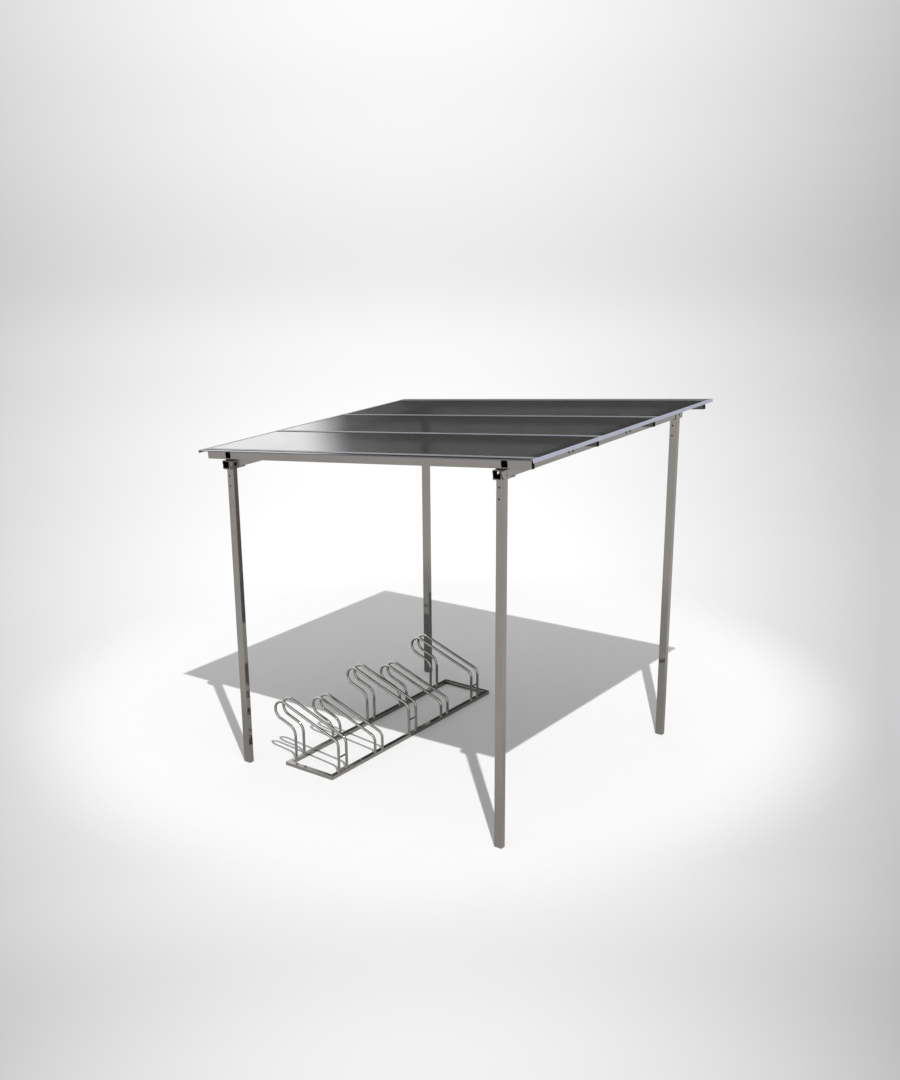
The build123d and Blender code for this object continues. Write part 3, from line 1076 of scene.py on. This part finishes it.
@dataclass
class Studio:
    """Floor, key light, surroundings and camera."""

    key_place: tuple[float, float, float] = (-5.69, -5.37, 12.82)
    key_watts: float = 7300.0
    key_radius: float = 0.06
    fill: float = 0.52  # level of the even light on what is matt
    box_edges: tuple[tuple[float, float, float], ...] = (
        (46.1, 48.4, 1.46), (46.8, 51.0, 0.13))  # per layer: bearings it fades between, level
    box_off: float = 0.07  # level beside the soft box
    box_foot: float = -0.03  # height, as a sine, from which the soft box takes over
    floor_shine: float = 0.90  # level that shiny faces see below the horizon
    camera_place: tuple[float, float, float] = (-6.9951, -5.0721, 3.9918)
    camera_turn: float = -54.664
    camera_dip: float = 19.535
    lens: float = 56.137
    sensor: float = 36.0
    shift: tuple[float, float] = (-0.0251, 0.0863)
    sight: float = 500.0
    floor_size: float = 120.0
    floor_falloff_shade: tuple[float, float] = (0.75, 0.97)  # near the lamp's foot and far from it: painted shade, darker near the lamp to cancel its falloff so the lit floor looks even
    floor_graded: tuple[float, float] = (6.0, 11.0)  # metres from the lamp's foot
    floor_mirrored_shade: float = 0.565  # darker paint that shiny faces see: painted shade in the floor's reflections
    floor_heart: tuple[float, float] = (0.75, 0.7)  # middle of the part that shows
    floor_fade: tuple[float, float] = (2.2, 3.2)  # metres from there, all floor to all backdrop
    drop_peak: float = 1.06  # backdrop's level along its bearing
    drop_fall: float = 4.2  # how fast it darkens to the sides
    drop_least: float = 0.62
    drop_bearing: float = 52.0
    drop_bands: tuple[tuple[float, float], ...] = (  # height as a sine, share of the level
        (-0.602, 0.84), (-0.548, 0.80), (-0.489, 0.885), (-0.427, 0.94), (-0.363, 0.99),
        (-0.296, 1.0), (-0.227, 0.96), (-0.158, 0.90), (-0.092, 0.80), (0.006, 0.87),
        (0.068, 0.91))

    def build_camera(self) -> None:
        """Place the camera that takes the main view."""
        data = bpy.data.cameras.new("view_camera")
        data.lens, data.sensor_width, data.sensor_fit = self.lens, self.sensor, "HORIZONTAL"
        data.shift_x, data.shift_y = self.shift
        data.clip_end = self.sight
        camera = bpy.data.objects.new("view_camera", data)
        camera.location = self.camera_place
        camera.rotation_euler = (math.radians(90 - self.camera_dip), 0.0,
                                 math.radians(self.camera_turn))
        bpy.context.scene.collection.objects.link(camera)
        bpy.context.scene.camera = camera

    def build_key(self) -> None:
        """Hang the small key lamp high on the entrance side."""
        data = bpy.data.lights.new("key_lamp", "POINT")
        data.energy, data.shadow_soft_size = self.key_watts, self.key_radius
        lamp = bpy.data.objects.new("key_lamp", data)
        lamp.location = self.key_place
        bpy.context.scene.collection.objects.link(lamp)

    def build_floor(self) -> None:
        """Lay the pale floor, which fades into the backdrop away from the shelter."""
        bpy.ops.object.select_all(action="DESELECT")
        bpy.ops.mesh.primitive_plane_add(size=self.floor_size)
        floor = bpy.context.object
        floor.name = "studio_floor"
        material, tree, place = blank_material("studio_paint")
        path = add_node(tree, "LightPath")
        foot = (self.key_place[0], self.key_place[1], 0.0)
        lit = add_node(tree, "VectorMath", {1: foot}, {0: place}, operation="DISTANCE")
        # painted shade: the floor's colour grows lighter away from the lamp's foot, against the lamp's falloff
        graded = between(tree, lit.outputs["Value"], *self.floor_falloff_shade, self.floor_graded)
        # painted shade in reflections: glossy rays see the floor darker than the camera does
        shade = add_node(tree, "Mix", {"B": self.floor_mirrored_shade},
                         {"Factor": path.outputs["Is Glossy Ray"], "A": graded}, data_type="FLOAT")
        paint = add_node(tree, "BsdfDiffuse", links={"Color": shade.outputs[0]})
        away = add_node(tree, "VectorMath", {1: (*self.floor_heart, 0.0)}, {0: place},
                        operation="DISTANCE")
        start, end = self.floor_fade
        fade = add_node(tree, "MapRange", {"From Min": start, "From Max": end},
                        {"Value": away.outputs["Value"]}, interpolation_type="SMOOTHSTEP")
        clear = add_node(tree, "BsdfTransparent")
        mixed = add_node(tree, "MixShader", links={0: fade.outputs[0], 1: paint.outputs[0],
                                                   2: clear.outputs[0]})
        close_material(tree, mixed.outputs[0])
        floor.data.materials.append(material)

    def backdrop(self, tree: bpy.types.NodeTree,
                 way: bpy.types.NodeSocket) -> bpy.types.NodeSocket:
        """Work out how light the backdrop is in each direction.

        Args:
            tree: The world's tree.
            way: The direction looked in.

        Returns:
            The level, where 1 is white.
        """
        turn = math.radians(self.drop_bearing)
        aside = add_node(tree, "VectorMath", {1: (math.cos(turn), -math.sin(turn), 0.0)},
                         {0: way}, operation="DOT_PRODUCT")
        square = add_node(tree, "Math", {1: 2.0}, {0: aside.outputs["Value"]}, operation="POWER")
        column = add_node(tree, "Math", {1: -self.drop_fall, 2: self.drop_peak},
                          {0: square.outputs[0]}, operation="MULTIPLY_ADD")
        least = add_node(tree, "Math", {1: self.drop_least}, {0: column.outputs[0]},
                         operation="MAXIMUM")
        height = add_node(tree, "SeparateXYZ", links={"Vector": way}).outputs["Z"]
        low, high = self.drop_bands[0][0], self.drop_bands[-1][0]
        spread = add_node(tree, "MapRange", {"From Min": low, "From Max": high}, {"Value": height})
        ramp = add_node(tree, "ValToRGB", links={"Fac": spread.outputs[0]})
        bands = ramp.color_ramp
        bands.interpolation = "EASE"
        while len(bands.elements) < len(self.drop_bands):
            bands.elements.new(0.5)
        for stop, (z, level) in zip(bands.elements, self.drop_bands):
            stop.position = (z - low) / (high - low)
            stop.color = (level, level, level, 1.0)
        both = add_node(tree, "Math", links={0: least.outputs[0], 1: ramp.outputs["Color"]},
                        operation="MULTIPLY")
        return both.outputs[0]

    def build_world(self) -> None:
        """Surround the shelter with even fill, a soft box for what shines and the backdrop."""
        world = bpy.data.worlds.new("studio")
        world.use_nodes = True
        bpy.context.scene.world = world
        tree = world.node_tree
        tree.nodes.clear()
        way = add_node(tree, "TexCoord").outputs["Generated"]
        axes = add_node(tree, "SeparateXYZ", links={"Vector": way})
        bearing = add_node(tree, "Math", links={0: axes.outputs["X"], 1: axes.outputs["Y"]},
                           operation="ARCTAN2")
        soft_box = None
        for first, last, level in self.box_edges:
            span = {"From Min": math.radians(first), "From Max": math.radians(last),
                    "To Min": level, "To Max": 0.0 if soft_box else self.box_off}
            edge = add_node(tree, "MapRange", span, {"Value": bearing.outputs[0]},
                            interpolation_type="SMOOTHSTEP")
            soft_box = edge if soft_box is None else add_node(
                tree, "Math", links={0: soft_box.outputs[0], 1: edge.outputs[0]}, operation="ADD")
        above = add_node(tree, "MapRange", {"From Min": self.box_foot, "From Max": 0.0},
                         {"Value": axes.outputs["Z"]})
        shiny = add_node(tree, "Mix", {"A": self.floor_shine},
                         {"Factor": above.outputs[0], "B": soft_box.outputs[0]}, data_type="FLOAT")
        path = add_node(tree, "LightPath")
        shine = add_node(tree, "Mix", {"A": self.fill},
                         {"Factor": path.outputs["Is Glossy Ray"], "B": shiny.outputs[0]},
                         data_type="FLOAT")
        seen = add_node(tree, "Math", links={0: path.outputs["Is Camera Ray"],
                                             1: path.outputs["Is Transmission Ray"]},
                        operation="MAXIMUM")
        level = add_node(tree, "Mix", links={"Factor": seen.outputs[0], "A": shine.outputs[0],
                                             "B": self.backdrop(tree, way)}, data_type="FLOAT")
        sky = add_node(tree, "Background", {"Color": (1.0, 1.0, 1.0, 1.0)},
                       {"Strength": level.outputs[0]})
        add_node(tree, "OutputWorld", links={"Surface": sky.outputs[0]})

    def build(self) -> None:
        """Set the whole studio up."""
        bpy.context.scene.view_settings.view_transform = "Standard"
        self.build_camera()
        self.build_key()
        self.build_floor()
        self.build_world()


def main() -> None:
    """Build the shelter's looks in order and report each piece."""
    logging.basicConfig(level=logging.INFO)
    ShelterFrame().dress_sections()
    Roof().dress_parts()
    Rack().dress_parts()
    BeamScrews().build()
    EndPlugs().build()
    SaddleShadeBeads().build()
    RoofSeals().build()
    RackWelds().build()
    Studio().build()


if __name__ == "__main__":
    main()
